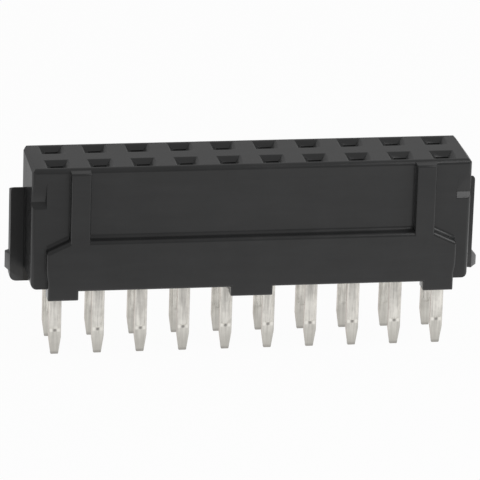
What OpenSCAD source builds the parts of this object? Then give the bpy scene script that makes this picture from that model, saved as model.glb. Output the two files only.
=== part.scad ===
// Two-row board receptacle with twenty formed contacts.
// Millimetres. X runs along the rows, Y to the rear, Z up. The board lies at Z = 0.

/* [Contact grid] */
// Spacing of the contacts along each row
pitch = 2.54; // [2.5:0.01:2.56]
// Spacing of the two rows of openings
row_spacing = 2.54; // [2.5:0.01:2.6]

/* [Block] */
// Distance from the last opening of a row to the end of the block
end_margin = 1.58; // [1.4:0.01:2]
// Distance from the middle of a row to the front or rear of the block
row_margin = 1.08; // [1:0.01:1.4]
// Height of the mating face above the board
top_z = 7.93; // [7.6:0.01:8.6]
// Bevel on the rear and end edges of the mating face
top_bevel = 0.2; // [0.05:0.05:0.3]
// Rounding of the front edge of the mating face
front_round = 0.32; // [0.1:0.02:0.34]
// Rounding of the lower end corners
foot_round = 0.36; // [0.1:0.02:0.5]
// Rounding of the upright front corners
corner_round = 0.24; // [0.1:0.02:0.4]
// Cut on the rear left corner, along the length
left_cut_x = 0.3; // [0.1:0.02:0.6]
// Cut on the rear left corner, along the depth
left_cut_y = 0.4; // [0.2:0.05:1]
// Long cut on the rear right corner, along the length
right_cut_x = 0.26; // [0.1:0.02:0.6]
// Long cut on the rear right corner, along the depth
right_cut_y = 3; // [1:0.1:4]

/* [Front plate] */
// Thickness of the raised plate
plate_t = 0.6; // [0.4:0.05:0.8]
// Distance from the end of the block to the side of the plate
plate_inset = 0.86; // [0.6:0.02:1.2]
// Height of the top of the band above the board
band_z = 3.68; // [3.2:0.02:4.4]
// Drop of the sloped shoulder at each end of the band
shoulder_drop = 0.64; // [0.3:0.02:1]
// Width of the sloped shoulder at each end of the band
shoulder_w = 1.36; // [0.8:0.01:1.6]
// Width of each rib
rib_w = 1.18; // [0.8:0.02:1.5]
// Distance of the tops of the ribs below the mating face
rib_drop = 0.1; // [0.04:0.02:0.2]
// Bevel on the front edge of the tops of the ribs
rib_bevel = 0.08; // [0.05:0.01:0.3]

/* [Standoffs] */
// Height of the standoffs
standoff_h = 0.57; // [0.4:0.01:0.9]
// Distance of the end standoffs inside the sides of the plate
standoff_inset = 0.1; // [0.04:0.02:0.3]
// Height above the standoffs at which the plate starts to widen
widen_from = 0.48; // [0.2:0.02:0.6]
// Height over which the plate widens to its full width
widen_over = 0.66; // [0.3:0.02:1]
// Width of the end standoffs
end_standoff_w = 1.8; // [1.2:0.02:2.2]
// Width of the centre standoff
mid_standoff_w = 2.5; // [1.6:0.05:3]
// Gap kept between standoffs and tails
standoff_gap = 0.17; // [0.1:0.01:0.3]

/* [Grip notches] */
// Width of the notch in each front corner
notch_w = 0.85; // [0.5:0.01:1.1]
// Depth of the notch at its ledge
notch_depth = 0.3; // [0.1:0.02:0.5]
// Distance from the mating face down to the upper end of the notch
notch_drop = 0.78; // [0.5:0.01:1.2]
// Height of the notch down to the inner edge of its ledge
notch_h = 1.27; // [0.8:0.01:1.6]
// Height over which the ledge slopes out
ledge_drop = 0.34; // [0.2:0.02:0.8]

/* [End ears] */
// Reach of each ear beyond the block
ear_out = 0.87; // [0.5:0.01:1.2]
// Distance from the row centre line to the front of the ear
ear_front = 0.56; // [0.2:0.02:0.8]
// Fall of the front of the ear to the rear towards the block
ear_lean = 0.2; // [0.05:0.01:0.3]
// Depth of the ear
ear_depth = 0.9; // [0.6:0.02:1.2]
// Distance from the mating face down to the front of the top of the ear
ear_drop = 2.01; // [1.4:0.01:2.6]
// Fall of the top of the ear to the rear
ear_fall = 0.36; // [0.1:0.02:0.6]
// Rounding of the upper outer corner of the ear
ear_round = 0.26; // [0.1:0.02:0.3]
// Rounding of the lower outer corner of the ear
ear_foot_round = 0.42; // [0.1:0.02:0.46]
// Height of the bevel on the lower front edge of the ear
ear_bevel_h = 0.7; // [0.3:0.05:1]
// Depth of the bevel on the lower front edge of the ear
ear_bevel_d = 0.2; // [0.1:0.02:0.4]
// Height of each lug
lug_h = 1.08; // [0.8:0.02:1.4]
// Reach of the left lug beyond its ear
left_lug_out = 0.21; // [0.15:0.01:0.5]
// Height of the underside of the square left lug above the board
left_lug_z = 0.68; // [0.1:0.02:1]
// Height of the ramp on top of the left lug
left_lug_ramp = 0.06; // [0.02:0.02:0.5]
// Depth over which the front of the left lug slopes out
left_lug_slope = 0.8; // [0.2:0.02:0.86]
// Reach of the right lug beyond its ear
right_lug_out = 0.42; // [0.15:0.01:0.5]
// Height of the underside of the ramped right lug above the board
right_lug_z = 0.08; // [0.02:0.02:1]
// Height of the ramp on top of the right lug
right_lug_ramp = 0.5; // [0.02:0.02:0.7]
// Depth over which the front of the right lug slopes out
right_lug_slope = 0.6; // [0.2:0.02:0.86]

/* [Openings] */
// Width of a lead-in at the mating face
lead_w = 1.4; // [1.2:0.02:1.5]
// Depth of the lead-in slope
lead_depth = 0.28; // [0.2:0.02:0.5]
// Width of the square throat
throat_w = 0.74; // [0.7:0.02:0.9]
// Length of the throat between the lead-in and the cavity
throat_len = 0.62; // [0.4:0.02:0.9]
// Width of a cavity along the row
cavity_w = 1.1; // [1:0.02:1.3]
// Depth of a cavity across the row
cavity_d = 1.5; // [1.4:0.02:1.6]

/* [Contacts] */
// Thickness of the contact stock
stock_t = 0.2; // [0.15:0.01:0.25]
// Distance from the middle of the opening to the middle of the tail blade
tail_shift = 0.19; // [0.15:0.01:0.22]
// Width of the tail
tail_w = 0.75; // [0.65:0.01:0.85]
// Length of the tail below the board plane
tail_len = 3.8; // [3:0.1:4.5]
// Width of the flat at the tip
tip_w = 0.45; // [0.3:0.01:0.55]
// Length of the taper at the tip
tip_len = 1.05; // [0.6:0.05:1.2]
// Distance from the taper up to the lower end of the bead
bead_rise = 0.4; // [0.2:0.05:0.8]
// Radius of the bead on the outer side of the tail
bead_r = 0.36; // [0.32:0.01:0.4]
// Distance of the middle of the bead behind the inner face of the tail
bead_setback = 0.04; // [0.02:0.01:0.06]
// Wall left at the crest of the bead
bead_wall = 0.16; // [0.12:0.01:0.18]
// Height of the underside of the web above the board
web_z = 1; // [0.9:0.05:1.3]
// Height of the retention barbs
barb_h = 0.5; // [0.3:0.05:0.7]
// Clearance of the folded base from each side of the cavity
base_clear = 0.1; // [0.05:0.01:0.16]
// Height of the folded base
base_h = 1.3; // [1:0.05:1.6]
// Width of a spring beam
beam_w = 0.6; // [0.4:0.02:0.7]
// Clearance of a beam from the cavity wall where it is bowed
beam_clear = 0.19; // [0.1:0.01:0.22]
// Distance from the folded base up to the bowed stretch of a beam
bow_rise = 0.65; // [0.4:0.05:1]
// Length of the bowed stretch of a beam
bow_len = 1.3; // [0.8:0.05:1.8]
// Distance of a beam from the middle of the opening where it grips
beam_grip = 0.27; // [0.22:0.01:0.3]
// Distance from the cavity ceiling to the ends of the beams
beam_gap = 0.35; // [0.2:0.05:0.6]
// Length of the flared end of a beam
flare_len = 0.6; // [0.4:0.05:0.8]

/* [Hidden] */
positions = 10;
round_steps = 5;
overlap = 0.3;
$fn = 32;
row_y = row_spacing / 2;
body_x = (positions - 1) / 2 * pitch + end_margin;
body_y = row_y + row_margin;
plate_x = body_x - plate_inset;
plate_y = body_y + plate_t;
shoulder_z = band_z - shoulder_drop;
rib_top = top_z - rib_drop;
plate_foot_x = plate_x - standoff_inset;
widen_low_z = standoff_h + widen_from;
widen_high_z = widen_low_z + widen_over;
rib_out_x = plate_x - shoulder_w;
rib_in_x = rib_out_x - rib_w;
cavity_top = top_z - lead_depth - throat_len;
blade_in = tail_shift - stock_t / 2;
blade_out = tail_shift + stock_t / 2;
bead_axis = blade_in - bead_setback;
groove_r = bead_r - bead_wall;
tail_face_y = row_y + bead_axis + bead_r;
standoff_in = tail_face_y + standoff_gap;
ear_x = body_x + ear_out;
ear_root = right_cut_x + overlap;
ear_back = ear_front + ear_depth;
ear_top = top_z - ear_drop;
ear_in_x = ear_x - ear_foot_round;
notch_x = body_x - notch_w;
notch_top = top_z - notch_drop;
notch_ledge = notch_top - notch_h;
base_w = cavity_w - 2 * base_clear;
beam_bow = (cavity_d - stock_t) / 2 - beam_clear;
base_z = web_z + barb_h;
base_top = base_z + base_h;
inner_u = -beam_bow;
beam_top = cavity_top - beam_gap;
grip_z = beam_top - flare_len;
bow_low = base_top + bow_rise;
bow_high = bow_low + bow_len;
tip_z = -tail_len;
bead_z = tip_z + tip_len + bead_rise;

// Place of the contact with the given number along its row
function column_x(number) = (number - (positions + 1) / 2) * pitch;

// Points of a quarter round about a centre, from one angle to the next
function quarter(centre, radius, from) = [
    for (step = [0 : round_steps])
        let (angle = from + 90 * step / round_steps)
        centre + radius * [cos(angle), sin(angle)]
];

// A front-view profile drawn through the depth from one Y to another
module front_profile(points, y_from, y_to) {
    translate([0, y_to, 0])
        rotate([90, 0, 0])
            linear_extrude(height = y_to - y_from)
                polygon(points);
}

// An end-view profile drawn along the length from one X to another
module end_profile(points, x_from, x_to) {
    translate([x_from, 0, 0])
        rotate([90, 0, 90])
            linear_extrude(height = x_to - x_from)
                polygon(points);
}

// A box between two corners
module box(low, high) {
    translate(low)
        cube(high - low);
}

// Both ends of the length, the second one mirrored
module both_ends() {
    children();
    mirror([1, 0, 0])
        children();
}

// Block with its edged mating face, rounded front corners and feet, and cut rear corners
module block() {
    intersection() {
        front_profile(concat(
            quarter([-body_x + foot_round, standoff_h + foot_round], foot_round, 180),
            quarter([body_x - foot_round, standoff_h + foot_round], foot_round, 270),
            [[body_x, top_z - top_bevel], [body_x - top_bevel, top_z]],
            [[-body_x + top_bevel, top_z], [-body_x, top_z - top_bevel]]
        ), -body_y, body_y);
        end_profile(concat(
            [[-body_y, 0], [body_y, 0], [body_y, top_z - top_bevel], [body_y - top_bevel, top_z]],
            quarter([-body_y + front_round, top_z - front_round], front_round, 90)
        ), -body_x, body_x);
        linear_extrude(height = top_z)
            polygon(concat(
                quarter([-body_x + corner_round, -body_y + corner_round], corner_round, 180),
                quarter([body_x - corner_round, -body_y + corner_round], corner_round, 270),
                [[body_x, body_y - right_cut_y], [body_x - right_cut_x, body_y]],
                [[-body_x + left_cut_x, body_y], [-body_x, body_y - left_cut_y]]
            ));
    }
}

// Raised front plate: band with sloped shoulders and two ribs that end just below the mating face
module front_plate() {
    intersection() {
        front_profile([
            [-plate_foot_x, standoff_h], [plate_foot_x, standoff_h],
            [plate_foot_x, widen_low_z], [plate_x, widen_high_z], [plate_x, shoulder_z],
            [rib_out_x, band_z], [rib_out_x, rib_top], [rib_in_x, rib_top], [rib_in_x, band_z],
            [-rib_in_x, band_z], [-rib_in_x, rib_top], [-rib_out_x, rib_top], [-rib_out_x, band_z],
            [-plate_x, shoulder_z], [-plate_x, widen_high_z], [-plate_foot_x, widen_low_z]
        ], -plate_y, -body_y + overlap);
        end_profile([
            [-plate_y, 0], [0, 0], [0, rib_top],
            [-plate_y + rib_bevel, rib_top], [-plate_y, rib_top - rib_bevel]
        ], -plate_x, plate_x);
    }
}

// Standoffs under the plate and under the rear edge of the block
module standoffs() {
    both_ends()
        for (side = [[-plate_y, -standoff_in], [standoff_in, body_y]])
            box([plate_foot_x - end_standoff_w, side[0], 0], [plate_foot_x, side[1], standoff_h + overlap]);
    for (side = [[-plate_y, -standoff_in], [standoff_in, body_y]])
        box([-mid_standoff_w / 2, side[0], 0], [mid_standoff_w / 2, side[1], standoff_h + overlap]);
}

// Ear on the right end with a bevelled foot, whose front falls back towards the block and top to the rear
module ear() {
    intersection() {
        front_profile(concat(
            [[body_x - ear_root, 0]],
            quarter([ear_x - ear_foot_round, ear_foot_round], ear_foot_round, 270),
            quarter([ear_x - ear_round, ear_top - ear_round], ear_round, 0),
            [[body_x - ear_root, ear_top]]
        ), ear_front, ear_back);
        end_profile([
            [ear_front + ear_bevel_d, 0], [ear_back, 0], [ear_back, ear_top - ear_fall],
            [ear_front, ear_top], [ear_front, ear_bevel_h]
        ], body_x - ear_root, ear_x);
        linear_extrude(height = top_z)
            polygon([
                [ear_x, ear_front], [ear_x, ear_back], [body_x - ear_root, ear_back],
                [body_x - ear_root, ear_front + ear_lean], [body_x, ear_front + ear_lean]
            ]);
    }
}

// Lug on the right ear with a ramp on top and a sloped front
module lug(out, low, ramp, slope) {
    lug_x = ear_x + out;
    intersection() {
        front_profile([
            [ear_in_x, low], [lug_x, low], [lug_x, low + lug_h - ramp],
            [ear_x, low + lug_h], [ear_in_x, low + lug_h]
        ], ear_front, ear_back);
        linear_extrude(height = top_z)
            polygon([
                [ear_in_x, ear_front + max(ear_bevel_d, ear_lean)], [ear_x, ear_front],
                [lug_x, ear_front + slope], [lug_x, ear_back], [ear_in_x, ear_back]
            ]);
    }
}

// Wedge cut from the right front corner
module grip_notch() {
    end_profile([
        [-body_y - overlap, notch_ledge - ledge_drop * (1 + overlap / notch_depth)],
        [-body_y + notch_depth, notch_ledge],
        [-body_y, notch_top],
        [-body_y - overlap, notch_top]
    ], notch_x, body_x + overlap);
}

// Lead-ins, throats and cavities of one row
module row_cuts(side) {
    middle = side * row_y;
    slope = (lead_w - throat_w) / 2 / lead_depth;
    mouth = lead_w / 2 + slope * overlap;
    intersection() {
        end_profile([
            [middle - throat_w / 2, top_z - lead_depth], [middle + throat_w / 2, top_z - lead_depth],
            [middle + mouth, top_z + overlap], [middle - mouth, top_z + overlap]
        ], -body_x, body_x);
        for (number = [1 : positions])
            translate([column_x(number), 0, 0])
                front_profile([
                    [-throat_w / 2, top_z - lead_depth], [throat_w / 2, top_z - lead_depth],
                    [mouth, top_z + overlap], [-mouth, top_z + overlap]
                ], -body_y, body_y);
    }
    for (number = [1 : positions])
        translate([column_x(number), middle, 0]) {
            box([-throat_w / 2, -throat_w / 2, web_z], [throat_w / 2, throat_w / 2, top_z - lead_depth / 2]);
            box([-cavity_w / 2, -cavity_d / 2, 0], [cavity_w / 2, cavity_d / 2, cavity_top]);
        }
}

// The one-piece moulding
module housing() {
    color("#26272a")
        difference() {
            union() {
                block();
                front_plate();
                standoffs();
                both_ends()
                    ear();
                lug(right_lug_out, right_lug_z, right_lug_ramp, right_lug_slope);
                mirror([1, 0, 0])
                    lug(left_lug_out, left_lug_z, left_lug_ramp, left_lug_slope);
            }
            both_ends()
                grip_notch();
            for (side = [-1, 1])
                row_cuts(side);
        }
}

// Bead or groove rod on the tail, closed by a round end
module tail_rod(radius) {
    translate([0, bead_axis, bead_z + radius]) {
        cylinder(h = web_z - bead_z - radius, r = radius);
        sphere(r = radius);
    }
}

// Spring beam as an end-view strip from its root to its flared end
module beam(root_u, side) {
    half = stock_t / 2;
    path = [
        [root_u, base_top - stock_t], [side * beam_bow, bow_low], [side * beam_bow, bow_high],
        [side * beam_grip, grip_z], [side * beam_bow, beam_top]
    ];
    end_profile(concat(
        [for (point = path) point - [half, 0]],
        [for (index = [len(path) - 1 : -1 : 0]) path[index] + [half, 0]]
    ), -beam_w / 2, beam_w / 2);
}

// One stamped contact about the middle of its opening, outer side towards +Y
module formed_contact() {
    difference() {
        union() {
            front_profile([
                [-tip_w / 2, tip_z], [tip_w / 2, tip_z], [tail_w / 2, tip_z + tip_len],
                [tail_w / 2, web_z], [cavity_w / 2, web_z], [base_w / 2, base_z],
                [base_w / 2, base_top], [-base_w / 2, base_top], [-base_w / 2, base_z],
                [-cavity_w / 2, web_z], [-tail_w / 2, web_z], [-tail_w / 2, tip_z + tip_len]
            ], blade_in, blade_out);
            intersection() {
                tail_rod(bead_r);
                box([-tail_w / 2, tail_shift, tip_z], [tail_w / 2, tail_shift + 2 * bead_r, web_z]);
            }
            box([-base_w / 2, inner_u - stock_t / 2, base_z], [-base_w / 2 + stock_t, blade_out, base_top]);
            box([-base_w / 2, inner_u - stock_t / 2, base_z], [base_w / 2, inner_u + stock_t / 2, base_top]);
            beam(tail_shift, 1);
            beam(inner_u, -1);
        }
        tail_rod(groove_r);
    }
}

module contact_front(number) {
    color("#cfccc2")
        translate([column_x(number), -row_y, 0])
            rotate([0, 0, 180])
                formed_contact();
}

module contact_back(number) {
    color("#cfccc2")
        translate([column_x(number), row_y, 0])
            formed_contact();
}

housing();
contact_front(1);  // contact_front_01
contact_front(2);  // contact_front_02
contact_front(3);  // contact_front_03
contact_front(4);  // contact_front_04
contact_front(5);  // contact_front_05
contact_front(6);  // contact_front_06
contact_front(7);  // contact_front_07
contact_front(8);  // contact_front_08
contact_front(9);  // contact_front_09
contact_front(10);  // contact_front_10
contact_back(1);  // contact_back_01
contact_back(2);  // contact_back_02
contact_back(3);  // contact_back_03
contact_back(4);  // contact_back_04
contact_back(5);  // contact_back_05
contact_back(6);  // contact_back_06
contact_back(7);  // contact_back_07
contact_back(8);  // contact_back_08
contact_back(9);  // contact_back_09
contact_back(10);  // contact_back_10
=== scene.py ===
"""Looks of a two-row board connector: black moulded housing, tinned contacts and a white studio."""

import math

import bmesh
import bpy
from bpy.props import FloatProperty, FloatVectorProperty, IntProperty, PointerProperty
from bpy.types import Operator, Panel, PropertyGroup
from mathutils import Matrix, Vector


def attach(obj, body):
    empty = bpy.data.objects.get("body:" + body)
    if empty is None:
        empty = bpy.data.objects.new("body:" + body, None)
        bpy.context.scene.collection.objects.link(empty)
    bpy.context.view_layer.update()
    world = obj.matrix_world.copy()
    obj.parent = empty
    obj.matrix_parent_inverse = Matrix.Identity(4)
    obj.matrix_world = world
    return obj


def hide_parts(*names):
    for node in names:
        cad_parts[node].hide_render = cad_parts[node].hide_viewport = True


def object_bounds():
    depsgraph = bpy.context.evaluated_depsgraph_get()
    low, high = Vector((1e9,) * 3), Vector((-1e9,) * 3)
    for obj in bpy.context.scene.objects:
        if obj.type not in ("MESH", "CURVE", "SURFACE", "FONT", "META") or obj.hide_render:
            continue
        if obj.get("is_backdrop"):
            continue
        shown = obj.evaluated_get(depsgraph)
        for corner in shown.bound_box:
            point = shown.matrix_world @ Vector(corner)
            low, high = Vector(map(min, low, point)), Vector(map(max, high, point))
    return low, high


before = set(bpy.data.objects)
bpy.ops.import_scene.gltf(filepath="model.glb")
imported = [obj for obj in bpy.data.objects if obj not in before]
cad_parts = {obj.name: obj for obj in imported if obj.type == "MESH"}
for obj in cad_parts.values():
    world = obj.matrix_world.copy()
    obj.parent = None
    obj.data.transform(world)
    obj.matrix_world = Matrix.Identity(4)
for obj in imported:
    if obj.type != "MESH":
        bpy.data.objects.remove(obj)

bl_info = {
    "name": "Board Connector Looks",
    "version": (1, 0, 0),
    "blender": (4, 5, 0),
    "location": "3D View > Sidebar > Connector",
    "description": "Rounds and finishes a moulded board connector with its contacts, and lights it",
    "category": "Object",
}

cad_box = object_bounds()

# One millimetre in the frame's metres
MM = 0.001

# Names in the frame and in the record
BODY = "root"
HOUSING_NODE = "housing"
CONTACT_PREFIX = "contact_"

# Limits of the edge rounding
MERGE_DISTANCE = 0.0005 * MM
FLAT_ANGLE = math.radians(0.5)
SHARP_ANGLE = math.radians(26)
CREASE_ANGLE = math.radians(32)
ONWARD = math.cos(math.radians(50))
EVEN = math.cos(math.radians(40))
NEIGHBOUR_SHARE = 0.45
CONCAVE_SHARE = 0.5
ROUND_PROFILE = 0.5
SHADING_WEIGHT = 90
WEIGHT_LAYER = "bevel_weight_edge"

# Zones of the housing that have a rounding of their own, from its front, its top and the board plane
FRONT_Y = cad_box[0][1]
TOP_Z = cad_box[1][2]
PLATE_Y = FRONT_Y + 0.45 * MM
PLATE_FOOT_Y = FRONT_Y + 0.65 * MM
MOUTH_Y = FRONT_Y + 0.85 * MM
RIB_TOP_Z = TOP_Z - 0.33 * MM
MOUTH_LOW_Z = TOP_Z - 0.53 * MM
MOUTH_HIGH_Z = TOP_Z - 0.03 * MM
LEDGE_LOW_Z = 3 * MM
LEDGE_HIGH_Z = 3.8 * MM
RIB_LENGTH = 3.5 * MM

# Groove on the inner side of a tail
GROOVE_Z = -1 * MM
TIP_TOP_Z = -2.4 * MM
GROOVE_RADIUS = 0.2 * MM
GROOVE_SETBACK = 0.04 * MM
GROOVE_DEPTH = GROOVE_RADIUS - GROOVE_SETBACK
GROOVE_SHARE = 0.1

# Noise in the finishes, with scales in cells per metre
EVENLY = (1, 1, 1)
NOISE_ROUGHNESS = 0.55
NOISE_MEAN = 0.5
CLOUD_DETAIL = 3
FLOW_DETAIL = 2
GRAIN_DETAIL = 3
STREAK_DETAIL = 3
PLASTIC_CLOUD = 420
PLASTIC_FLOW = 1500
PLASTIC_GRAIN = 16000
TIN_CLOUD = 1600
TIN_STREAK = 9000

# Finish of the plastic
FLOW_STRETCH = (0.15, 1, 1)
PATCH_CLOUD = 0.6
PATCH_SPAN = (0.35, 0.65)
# Span of x over which the ears take their painted light
EAR_SPAN = (13.05 * MM, 13.12 * MM)
FLOW_HEIGHT = 0.5
GRAIN_BUMP = 0.5
CLOUD_ROUGH = 0.14
GRAIN_ROUGH = 0.1

# Finish of the tin, with copper and dullness as their least share and what the cloud adds
PITCH = 2.54 * MM
COLUMN_MIDDLE = 0.5
DRAWN_STRETCH = (1, 1, 0.06)
MOTTLE_CLOUD = 0.45
MOTTLE_SPAN = (0.38, 0.62)
STREAK_BUMP = 0.4
TIN_ROUGH = 0.2
# Painted shade: the tin darkens towards the tips over this span and by this share
LOW_SHADE_SPAN = (1.7 * MM, 3.6 * MM)
LOW_SHADE_SHARE = 0.8
BEAM_SPAN = (2 * MM, 4 * MM)
# Painted shade of a pit at the bead's lower end, and painted highlights on either side of it
PIT_Z = -2.3 * MM
PIT_SPAN = (0.05 * MM, 0.13 * MM)
SHINE_IN = (0.1 * MM, 0.18 * MM)
SHINE_OUT = (0.26 * MM, 0.34 * MM)
SHINE_SPAN = (0.05 * MM, 0.15 * MM)
TIP_SPAN = (3.2 * MM, 3.5 * MM)
TIP_FACING = (0.6, 0.9)
TIP_COPPER = (0.45, 0.5)
# Copper on the sheared sides, which also darkens the tail's edges as painted shade
EDGE_SPAN = (0.25 * MM, 0.33 * MM)
EDGE_FACING = (0.2, 0.7)
EDGE_COPPER_AND_SHADE = (0.12, 0.4)
SHEAR_SPAN = (3.58 * MM, 3.7 * MM)
SHEAR_DULL = (0.3, 0.6)

# Floor as it is seen and mirrored, with shares of white
CAMERA_WHITE = 0.965
NEAR_WHITE = 0.9
FAR_WHITE = 0.56
LEFT_SHARE = 0.72
SIDE_SPAN = (-14 * MM, 10 * MM)
FRONT_SPAN = (-16 * MM, -11 * MM)
REAR_SPAN = (8 * MM, 24 * MM)

# Camera and light
SENSOR_WIDTH = 36
NEAREST = 10 * MM
FARTHEST = 10000 * MM
SKY_SPAN = (0.1, 0.9)
SOFTBOX_SIZE = (135 * MM, 65 * MM)
SOFTBOX_PLACE = (98 * MM, -42.5 * MM, 80 * MM)


def settings_of(kind):
    """The settings of one group, as kept on the scene."""
    return getattr(bpy.context.scene, kind)


def runs_on(edge, near, vert, limit):
    """Whether one edge carries on another at their shared vertex, up to a turn with this cosine."""
    away = near.other_vert(vert).co - vert.co
    along = edge.other_vert(vert).co - vert.co
    return away.normalized().dot(along.normalized()) < -limit


def room_beside(edge, skip_onward):
    """Length of the shortest edge at either end of this one, with or without those that carry it on."""
    lengths = []
    for vert in edge.verts:
        for near in vert.link_edges:
            if near is not edge and not (skip_onward and runs_on(edge, near, vert, ONWARD)):
                lengths.append(near.calc_length())
    if not skip_onward:
        lengths.append(edge.calc_length())
    return min(lengths)


def even_out(widths):
    """Brings the roundings of edges that carry each other on down to the least of them."""
    waiting = list(widths)
    while waiting:
        edge = waiting.pop()
        for vert in edge.verts:
            for near in vert.link_edges:
                wider = near in widths and widths[near] > widths[edge]
                if wider and runs_on(edge, near, vert, EVEN):
                    widths[near] = widths[edge]
                    waiting.append(near)


def eased(width, concave):
    """A rounding, made smaller in an inner corner."""
    return width * CONCAVE_SHARE if concave else width


def crease(piece):
    """Settles the modifiers of a piece and splits the shading at the edges that still turn sharply."""
    settled = piece.evaluated_get(bpy.context.evaluated_depsgraph_get())
    rounded = bpy.data.meshes.new_from_object(settled)
    piece.modifiers.clear()
    bm = bmesh.new()
    bm.from_mesh(rounded)
    for edge in bm.edges:
        edge.smooth = edge.calc_face_angle(0) < CREASE_ANGLE
    bm.to_mesh(rounded)
    bm.free()
    rounded.name = piece.name
    piece.data = rounded


def ease_groove(bm):
    """Makes the lower end of the groove on the inner side of a tail shallower, and flat at its rim."""
    low = [vert for vert in bm.verts if vert.co.z < GROOVE_Z]
    middle = (min(vert.co.x for vert in low) + max(vert.co.x for vert in low)) / 2
    inner = min(abs(vert.co.y) for vert in low)
    for vert in low:
        depth = abs(vert.co.y) - inner
        reach = math.hypot(vert.co.x - middle, depth + GROOVE_SETBACK)
        sunk = depth > MERGE_DISTANCE and vert.co.z > TIP_TOP_Z
        if sunk and reach < GROOVE_RADIUS + MERGE_DISTANCE:
            shallow = GROOVE_SHARE * depth * depth / GROOVE_DEPTH
            vert.co.y = math.copysign(inner + shallow, vert.co.y)


def rounded_copy(node, name, widest, segments, round_at, reshape=None):
    """A merged copy of a frame node whose sharp edges are rounded, sized edge by edge."""
    bm = bmesh.new()
    bm.from_mesh(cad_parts[node].data)
    bmesh.ops.remove_doubles(bm, verts=bm.verts, dist=MERGE_DISTANCE)
    bmesh.ops.dissolve_limit(
        bm, angle_limit=FLAT_ANGLE, verts=bm.verts, edges=bm.edges, delimit=set()
    )
    if reshape:
        reshape(bm)
    weight = bm.edges.layers.float.new(WEIGHT_LAYER)
    widths = {}
    for edge in bm.edges:
        turn = edge.calc_face_angle_signed(0)
        if abs(turn) > SHARP_ANGLE:
            wanted, skip_onward = round_at(edge, turn < 0)
            widths[edge] = min(wanted, NEIGHBOUR_SHARE * room_beside(edge, skip_onward))
    even_out(widths)
    for edge, width in widths.items():
        edge[weight] = width / widest
    for face in bm.faces:
        face.smooth = True
    mesh = bpy.data.meshes.new(name)
    bm.to_mesh(mesh)
    bm.free()
    piece = bpy.data.objects.new(name, mesh)
    bpy.context.scene.collection.objects.link(piece)
    bevel = piece.modifiers.new("Edge round", "BEVEL")
    bevel.limit_method = "WEIGHT"
    bevel.width = widest
    bevel.segments = segments
    bevel.profile = ROUND_PROFILE
    bevel.use_clamp_overlap = False
    bevel.loop_slide = False
    crease(piece)
    evened = piece.modifiers.new("Even shading", "WEIGHTED_NORMAL")
    evened.weight = SHADING_WEIGHT
    evened.keep_sharp = True
    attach(piece, BODY)
    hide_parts(node)
    return piece


def dress(piece, material):
    """Gives a piece its only material."""
    piece.data.materials.clear()
    piece.data.materials.append(material)


class Wire:
    """A shader socket that takes part in Python expressions."""

    def __init__(self, tree, socket=None):
        self.tree = tree
        self.socket = socket

    def node(self, kind, settings, sockets):
        """Adds a node from its type, its settings and the values or wires of its sockets."""
        made = self.tree.nodes.new(kind)
        for name, value in settings.items():
            setattr(made, name, value)
        for name, value in sockets.items():
            if isinstance(value, Wire):
                self.tree.links.new(value.socket, made.inputs[name])
            else:
                made.inputs[name].default_value = value
        first = next((output for output in made.outputs if output.enabled), None)
        return Wire(self.tree, first)

    def out(self, name):
        """Another output of the same node."""
        return Wire(self.tree, self.socket.node.outputs[name])

    def maths(self, operation, first, second=0):
        """A Math node on one or two values."""
        return self.node("ShaderNodeMath", {"operation": operation}, {0: first, 1: second})

    def axes(self):
        """This vector taken apart into X, Y and Z."""
        return self.node("ShaderNodeSeparateXYZ", {}, {"Vector": self})

    def blend(self, first, second):
        """A colour between two others, with this value as the share of the second."""
        return self.node(
            "ShaderNodeMix",
            {"data_type": "RGBA"},
            {0: self, 6: first, 7: second},
        )

    def ramp(self, low, high):
        """This value taken from the span low to high on to 0 to 1."""
        return self.node(
            "ShaderNodeMapRange",
            {"clamp": True},
            {"Value": self, "From Min": low, "From Max": high},
        )

    def __add__(self, other):
        return self.maths("ADD", self, other)

    def __radd__(self, other):
        return self.maths("ADD", other, self)

    def __sub__(self, other):
        return self.maths("SUBTRACT", self, other)

    def __rsub__(self, other):
        return self.maths("SUBTRACT", other, self)

    def __mul__(self, other):
        return self.maths("MULTIPLY", self, other)

    def __rmul__(self, other):
        return self.maths("MULTIPLY", other, self)

    def __neg__(self):
        return 0 - self

    def __abs__(self):
        return self.maths("ABSOLUTE", self)


def new_material(name):
    """An empty node material, with a wire to build on."""
    material = bpy.data.materials.new(name)
    material.use_nodes = True
    material.node_tree.nodes.clear()
    return material, Wire(material.node_tree)


def object_place(start):
    """Object coordinates."""
    return start.node("ShaderNodeTexCoord", {}, {}).out("Object")


def stretched(start, scale):
    """Object coordinates stretched along the axes."""
    return start.node("ShaderNodeMapping", {}, {"Vector": object_place(start), "Scale": scale})


def noise(start, place, scale, detail):
    """Soft noise around its mean."""
    return start.node(
        "ShaderNodeTexNoise",
        {"noise_dimensions": "3D"},
        {"Vector": place, "Scale": scale, "Detail": detail, "Roughness": NOISE_ROUGHNESS},
    )


def patchy(cloud, least, added):
    """A share that grows with a cloud."""
    return least + added * cloud


def close_material(start, shader):
    """Joins a shader to the material's output."""
    start.node("ShaderNodeOutputMaterial", {}, {"Surface": shader})


def opaque(colour):
    """A colour with full opacity."""
    return (colour[0], colour[1], colour[2], 1)


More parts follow.
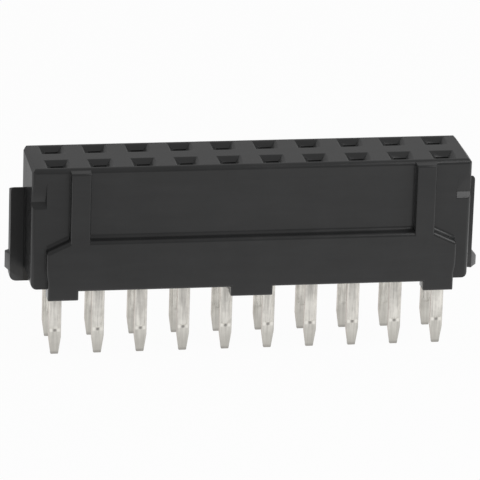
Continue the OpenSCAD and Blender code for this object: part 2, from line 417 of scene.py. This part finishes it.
def moulded_plastic(settings):
    """Black filled thermoplastic with a fine eroded grain and faint flow marks, with painted light
    making the ears greyer.
    """
    material, start = new_material("moulded_plastic")
    even = stretched(start, EVENLY)
    cloud = noise(start, even, PLASTIC_CLOUD, CLOUD_DETAIL)
    flow = noise(start, stretched(start, FLOW_STRETCH), PLASTIC_FLOW, FLOW_DETAIL)
    grain = noise(start, even, PLASTIC_GRAIN, GRAIN_DETAIL)
    patch = (cloud * PATCH_CLOUD + flow * (1 - PATCH_CLOUD)).ramp(*PATCH_SPAN)
    ear = abs(object_place(start).axes().out("X")).ramp(*EAR_SPAN)
    black = patch.blend(opaque(settings.dark), opaque(settings.light))
    # Painted light: the ears take a greyer tone that lifts their shaded fronts.
    colour = ear.blend(black, opaque(settings.ear_painted_light))
    coarse = settings.roughness + settings.ear_coarse * ear
    uneven = CLOUD_ROUGH * (cloud - NOISE_MEAN) + GRAIN_ROUGH * (grain - NOISE_MEAN)
    bump = start.node(
        "ShaderNodeBump",
        {},
        {
            "Strength": GRAIN_BUMP,
            "Distance": settings.grain_depth,
            "Height": grain + FLOW_HEIGHT * flow,
        },
    )
    shader = start.node(
        "ShaderNodeBsdfPrincipled",
        {},
        {
            "Base Color": colour,
            "Roughness": coarse + uneven,
            "Specular IOR Level": settings.sheen,
            "Normal": bump,
        },
    )
    close_material(start, shader)
    return material


def bead_marks(across, height, outer):
    """Masks of the painted shade of the pit at the lower end of the bead and of the painted highlights
    on either side of it.
    """
    above = abs(height - PIT_Z)
    spread = across.maths("SQRT", across * across + above * above)
    pit = (1 - spread.ramp(*PIT_SPAN)) * outer
    beside = across.ramp(*SHINE_IN) * (1 - across.ramp(*SHINE_OUT))
    painted_glint = beside * (1 - above.ramp(*SHINE_SPAN)) * outer
    return pit, painted_glint


def bare_copper(turn, across, height, cloud):
    """Mask of the sheared ends and sides, where the copper alloy shows in patches; on the sides it also
    darkens the tail's edges as painted shade.
    """
    tip = (-turn.out("Z")).ramp(*TIP_FACING) * (-height).ramp(*TIP_SPAN)
    # Partly real cut copper, partly painted shade along the tail's edges.
    side_copper_and_shade = (turn.out("X") * turn.out("X")).ramp(*EDGE_FACING) * across.ramp(*EDGE_SPAN)
    return tip * patchy(cloud, *TIP_COPPER) + side_copper_and_shade * patchy(cloud, *EDGE_COPPER_AND_SHADE)


def tinned_strip(settings):
    """Matt tin over copper alloy, drawn along the tail, brown where it is cut, with painted shade
    towards the tips, along the edges and in the pit at the bead, and painted highlights beside that
    pit.
    """
    material, start = new_material("tinned_strip")
    cloud = noise(start, stretched(start, EVENLY), TIN_CLOUD, CLOUD_DETAIL)
    streak = noise(start, stretched(start, DRAWN_STRETCH), TIN_STREAK, STREAK_DETAIL)
    turn = start.node("ShaderNodeNewGeometry", {}, {}).out("True Normal").axes()
    at = object_place(start).axes()
    height = at.out("Z")
    column = start.maths("FRACT", at.out("X") * (1 / PITCH)) - COLUMN_MIDDLE
    across = abs(column * PITCH)
    outer = start.maths("GREATER_THAN", turn.out("Y") * at.out("Y"))
    pit, painted_glint = bead_marks(across, height, outer)
    mottle = (cloud * MOTTLE_CLOUD + streak * (1 - MOTTLE_CLOUD)).ramp(*MOTTLE_SPAN)
    tin = mottle.blend(opaque(settings.tin_dark), opaque(settings.tin_light))
    # Painted shade, darker towards the tips.
    low_shade = (-height).ramp(*LOW_SHADE_SPAN) * LOW_SHADE_SHARE
    tail = low_shade.blend(tin, opaque(settings.tin_low_shade))
    strip = height.ramp(*BEAM_SPAN).blend(tail, opaque(settings.beam))
    # The pit's dark dot is painted shade and the spots beside it are painted highlights; the cut edge
    # at the tip is dull.
    pit_shade_and_dull_cut = pit + (-height).ramp(*SHEAR_SPAN) * patchy(cloud, *SHEAR_DULL)
    bead = pit_shade_and_dull_cut.blend(painted_glint.blend(strip, opaque(settings.tin_light)), opaque(settings.pit))
    colour = bare_copper(turn, across, height, cloud).blend(bead, opaque(settings.copper))
    bump = start.node(
        "ShaderNodeBump",
        {},
        {"Strength": STREAK_BUMP, "Distance": settings.streak_depth, "Height": streak},
    )
    shader = start.node(
        "ShaderNodeBsdfPrincipled",
        {},
        {
            "Base Color": colour,
            "Metallic": 1,
            "Roughness": settings.roughness + TIN_ROUGH * (cloud - NOISE_MEAN),
            "Normal": bump,
        },
    )
    close_material(start, shader)
    return material


def length(name, description, default):
    """A setting in metres."""
    return FloatProperty(
        name=name, description=description, default=default, min=0, unit="LENGTH"
    )


def share(name, description, default):
    """A setting from 0 to 1."""
    return FloatProperty(
        name=name, description=description, default=default, min=0, max=1, subtype="FACTOR"
    )


def angle(name, description, default):
    """A setting in radians, shown in degrees."""
    return FloatProperty(name=name, description=description, default=default, subtype="ANGLE")


def tone(name, description, default):
    """A colour setting."""
    return FloatVectorProperty(
        name=name, description=description, default=default, min=0, max=1, subtype="COLOR"
    )


def facets(name, description, default):
    """A setting for the facets of a rounding."""
    return IntProperty(
        name=name, description=description, default=default, min=1, max=6, subtype="UNSIGNED"
    )


class HousingSettings(PropertyGroup):
    """The moulded housing."""

    ledge_round: length(
        "Ledge round",
        "Rounding along both edges of the ledges on top of the front plate's band",
        0.27 * MM,
    )
    edge_round: length("Edge round", "Rounding along the other edges of the front plate", 0.16 * MM)
    rib_round: length("Rib round", "Rounding along the upright edges of the ribs", 0.12 * MM)
    fine_round: length("Fine round", "Rounding along all other edges of the moulding", 0.05 * MM)
    mouth_round: length(
        "Mouth round", "Rounding along the edges inside the lead-in openings", 0.015 * MM
    )
    segments: facets("Segments", "Facets across each rounding", 4)
    dark: tone("Dark tone", "Darker tone of the black plastic", (0.025, 0.0253, 0.0256))
    light: tone("Light tone", "Lighter tone of the black plastic", (0.034, 0.0344, 0.0348))
    # Painted light: a greyer tone that lifts the ears' shaded fronts.
    ear_painted_light: tone("Ear painted light", "Greyer tone of the ears", (0.07, 0.0702, 0.0704))
    roughness: share("Roughness", "Mean roughness of the moulded face", 0.2)
    ear_coarse: share("Ear coarseness", "Roughness that the coarser finish of the ears adds", 0.15)
    sheen: share("Specular level", "Strength of the plastic's clear reflection", 0.5)
    grain_depth: length("Grain depth", "Depth of the eroded mould grain", 0.004 * MM)


class ContactSettings(PropertyGroup):
    """The twenty stamped contacts."""

    edge_round: length("Edge round", "Rounding along the sheared edges of the strip", 0.045 * MM)
    segments: facets("Segments", "Facets across each rounding", 2)
    tin_dark: tone("Dark tin", "Duller tone of the tin", (0.6, 0.58, 0.54))
    tin_light: tone("Light tin", "Brighter tone of the tin", (0.93, 0.905, 0.845))
    # Painted shade towards the tips.
    tin_low_shade: tone("Low shaded tin", "Tone of the tin towards the tips", (0.48, 0.465, 0.425))
    # Painted shade of the pit, also the dull cut edge at the tip.
    pit: tone(
        "Pit",
        "Tone of the pit at the lower end of the bead and of the lower edge of the tip",
        (0.33, 0.315, 0.295),
    )
    copper: tone(
        "Cut copper", "Tone of the bare copper alloy on the sheared ends", (0.42, 0.25, 0.18)
    )
    beam: tone(
        "Beam bronze", "Tone of the bare bronze beams inside the housing", (0.2, 0.15, 0.1)
    )
    roughness: share("Roughness", "Mean roughness of the tin", 0.36)
    streak_depth: length("Streak depth", "Depth of the drawing marks along the strip", 0.003 * MM)


class StudioSettings(PropertyGroup):
    """Camera, floor and light."""

    yaw: angle(
        "Yaw", "Turn of the view about the vertical, towards the left end", math.radians(10.15)
    )
    pitch: angle("Pitch", "Downward tilt of the view", math.radians(19.842))
    roll: angle("Roll", "Turn of the camera about its own axis", math.radians(1.91))
    lens: FloatProperty(
        name="Lens",
        description="Focal length in millimetres on a 36 mm sensor",
        default=362.54,
        min=1,
        unit="CAMERA",
    )
    distance: length("Distance", "Camera to the point looked at", 285.445 * MM)
    target: FloatVectorProperty(
        name="Target",
        description="Point at the middle of the picture",
        default=(-0.29 * MM, 0, 2.45 * MM),
        subtype="TRANSLATION",
        unit="LENGTH",
    )
    floor_size: length("Floor size", "Side of the square floor", 2000 * MM)
    floor_tone: share("Floor tone", "Grey of the floor", 0.78)
    low_sky: tone(
        "Low surroundings",
        "Light that comes from all round near the horizon",
        (0.342, 0.342, 0.342),
    )
    high_sky: tone("High surroundings", "Light that comes from above", (0.4, 0.4, 0.4))
    softbox: FloatProperty(
        name="Softbox",
        description="Power of the long lamp above the right end",
        default=0.06,
        min=0,
        unit="POWER",
    )


class CONNECTOR_OT_housing(Operator):
    """Rounds the moulded housing and gives it its black plastic"""

    bl_idname = "connector.housing"
    bl_label = "Housing"

    def execute(self, context):
        settings = settings_of("connector_housing")

        def round_at(edge, concave):
            """Widest on the plate's ledges, less on its other edges and ribs, fine on the rest."""
            along = edge.verts[1].co - edge.verts[0].co
            middle = (edge.verts[0].co + edge.verts[1].co) / 2
            level = abs(along.x) > max(abs(along.y), abs(along.z))
            ledge = level and LEDGE_LOW_Z < middle.z < LEDGE_HIGH_Z
            upright = abs(along.z) > RIB_LENGTH
            if ledge and middle.y < PLATE_FOOT_Y:
                return settings.ledge_round, True
            if upright and middle.y < PLATE_Y:
                return settings.rib_round, True
            if middle.y < PLATE_Y and middle.z < RIB_TOP_Z:
                return eased(settings.edge_round, concave), True
            if MOUTH_LOW_Z < middle.z < MOUTH_HIGH_Z and middle.y > MOUTH_Y:
                return settings.mouth_round, False
            return eased(settings.fine_round, concave), False

        piece = rounded_copy(
            HOUSING_NODE, "moulded_housing", settings.ledge_round, settings.segments, round_at
        )
        dress(piece, moulded_plastic(settings))
        return {"FINISHED"}


class CONNECTOR_OT_contacts(Operator):
    """Rounds the stamped contacts and gives them their tin"""

    bl_idname = "connector.contacts"
    bl_label = "Contacts"

    def execute(self, context):
        settings = settings_of("connector_contacts")
        tin = tinned_strip(settings)

        def round_at(edge, concave):
            """The same on every edge, and less in the inner corners."""
            return eased(settings.edge_round, concave), False

        for node in sorted(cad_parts):
            if node.startswith(CONTACT_PREFIX):
                piece = rounded_copy(
                    node,
                    "tinned_" + node,
                    settings.edge_round,
                    settings.segments,
                    round_at,
                    ease_groove,
                )
                dress(piece, tin)
        return {"FINISHED"}


def white_to_view(start, lit, white):
    """A shader white to the camera, partly white in reflections, and lit as it is otherwise."""
    rays = start.node("ShaderNodeLightPath", {}, {})
    axes = object_place(start).axes()
    close = axes.out("Y").ramp(*FRONT_SPAN)
    behind = axes.out("Y").ramp(*REAR_SPAN)
    along = LEFT_SHARE + (1 - LEFT_SHARE) * axes.out("X").ramp(*SIDE_SPAN)
    mirrored = (FAR_WHITE * along * (1 - close) + NEAR_WHITE * close) * (1 - behind)
    clear = rays.out("Is Camera Ray") + rays.out("Is Transmission Ray")
    seen = CAMERA_WHITE * clear + mirrored * rays.out("Is Glossy Ray")
    return start.node("ShaderNodeMixShader", {}, {0: seen, 1: lit, 2: white})


class CONNECTOR_OT_studio(Operator):
    """Sets up the camera, the pale floor and the soft light"""

    bl_idname = "connector.studio"
    bl_label = "Studio"

    def execute(self, context):
        settings = settings_of("connector_studio")
        self.add_camera(settings)
        self.add_floor(settings)
        self.add_light(settings)
        context.scene.view_settings.view_transform = "Standard"
        return {"FINISHED"}

    def add_camera(self, settings):
        """Camera at the photographed view."""
        level = Vector((math.cos(settings.yaw), -math.sin(settings.yaw), 0))
        ahead = Vector(
            (
                math.sin(settings.yaw) * math.cos(settings.pitch),
                math.cos(settings.yaw) * math.cos(settings.pitch),
                -math.sin(settings.pitch),
            )
        )
        above = level.cross(ahead)
        right = level * math.cos(settings.roll) + above * math.sin(settings.roll)
        up = above * math.cos(settings.roll) - level * math.sin(settings.roll)
        data = bpy.data.cameras.new("Camera")
        data.sensor_width = SENSOR_WIDTH
        data.lens = settings.lens
        data.clip_start = NEAREST
        data.clip_end = FARTHEST
        camera = bpy.data.objects.new("Camera", data)
        turn = Matrix((right, up, -ahead)).transposed()
        place = Vector(settings.target) - ahead * settings.distance
        camera.matrix_world = Matrix.Translation(place) @ turn.to_4x4()
        bpy.context.scene.collection.objects.link(camera)
        bpy.context.scene.camera = camera

    def add_floor(self, settings):
        """White floor at the tips of the tails, which keeps a faint shadow."""
        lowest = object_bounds()[0][2]
        bm = bmesh.new()
        bmesh.ops.create_grid(bm, x_segments=1, y_segments=1, size=settings.floor_size / 2)
        bmesh.ops.translate(bm, verts=bm.verts, vec=(0, 0, lowest))
        mesh = bpy.data.meshes.new("floor")
        bm.to_mesh(mesh)
        bm.free()
        floor = bpy.data.objects.new("floor", mesh)
        bpy.context.scene.collection.objects.link(floor)
        material, start = new_material("floor_white")
        grey = (settings.floor_tone, settings.floor_tone, settings.floor_tone)
        lit = start.node("ShaderNodeBsdfDiffuse", {}, {"Color": opaque(grey)})
        white = start.node("ShaderNodeEmission", {}, {"Color": (1, 1, 1, 1), "Strength": 1})
        close_material(start, white_to_view(start, lit, white))
        mesh.materials.append(material)
        floor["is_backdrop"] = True

    def add_light(self, settings):
        """Even surroundings and a long softbox above the right end."""
        world = bpy.data.worlds.new("Studio")
        world.use_nodes = True
        world.node_tree.nodes.clear()
        start = Wire(world.node_tree)
        height = start.node("ShaderNodeTexCoord", {}, {}).out("Generated").axes().out("Z")
        glow = height.ramp(*SKY_SPAN).blend(opaque(settings.low_sky), opaque(settings.high_sky))
        even = start.node("ShaderNodeBackground", {}, {"Color": glow, "Strength": 1})
        start.node("ShaderNodeOutputWorld", {}, {"Surface": even})
        bpy.context.scene.world = world
        data = bpy.data.lights.new("Softbox", "AREA")
        data.shape = "RECTANGLE"
        data.energy = settings.softbox
        data.size, data.size_y = SOFTBOX_SIZE
        lamp = bpy.data.objects.new("Softbox", data)
        lamp.location = SOFTBOX_PLACE
        lamp.visible_camera = False
        bpy.context.scene.collection.objects.link(lamp)


class CONNECTOR_PT_sidebar(Panel):
    """Lists the settings and the steps that use them"""

    bl_idname = "CONNECTOR_PT_sidebar"
    bl_label = "Connector"
    bl_space_type = "VIEW_3D"
    bl_region_type = "UI"
    bl_category = "Connector"

    def draw(self, context):
        for kind, step in STEPS:
            box = self.layout.box()
            group = getattr(context.scene, kind)
            for name in group.bl_rna.properties.keys():
                if name not in ("rna_type", "name"):
                    box.prop(group, name)
            box.operator(step)


GROUPS = (
    ("connector_housing", HousingSettings),
    ("connector_contacts", ContactSettings),
    ("connector_studio", StudioSettings),
)
STEPS = (
    ("connector_housing", "connector.housing"),
    ("connector_contacts", "connector.contacts"),
    ("connector_studio", "connector.studio"),
)
CLASSES = (
    HousingSettings,
    ContactSettings,
    StudioSettings,
    CONNECTOR_OT_housing,
    CONNECTOR_OT_contacts,
    CONNECTOR_OT_studio,
    CONNECTOR_PT_sidebar,
)


def register():
    for item in CLASSES:
        bpy.utils.register_class(item)
    for name, kind in GROUPS:
        setattr(bpy.types.Scene, name, PointerProperty(type=kind))


def unregister():
    for name, kind in GROUPS:
        delattr(bpy.types.Scene, name)
    for item in reversed(CLASSES):
        bpy.utils.unregister_class(item)


def main():
    register()
    bpy.ops.connector.housing()
    bpy.ops.connector.contacts()
    bpy.ops.connector.studio()


if __name__ == "__main__":
    main()
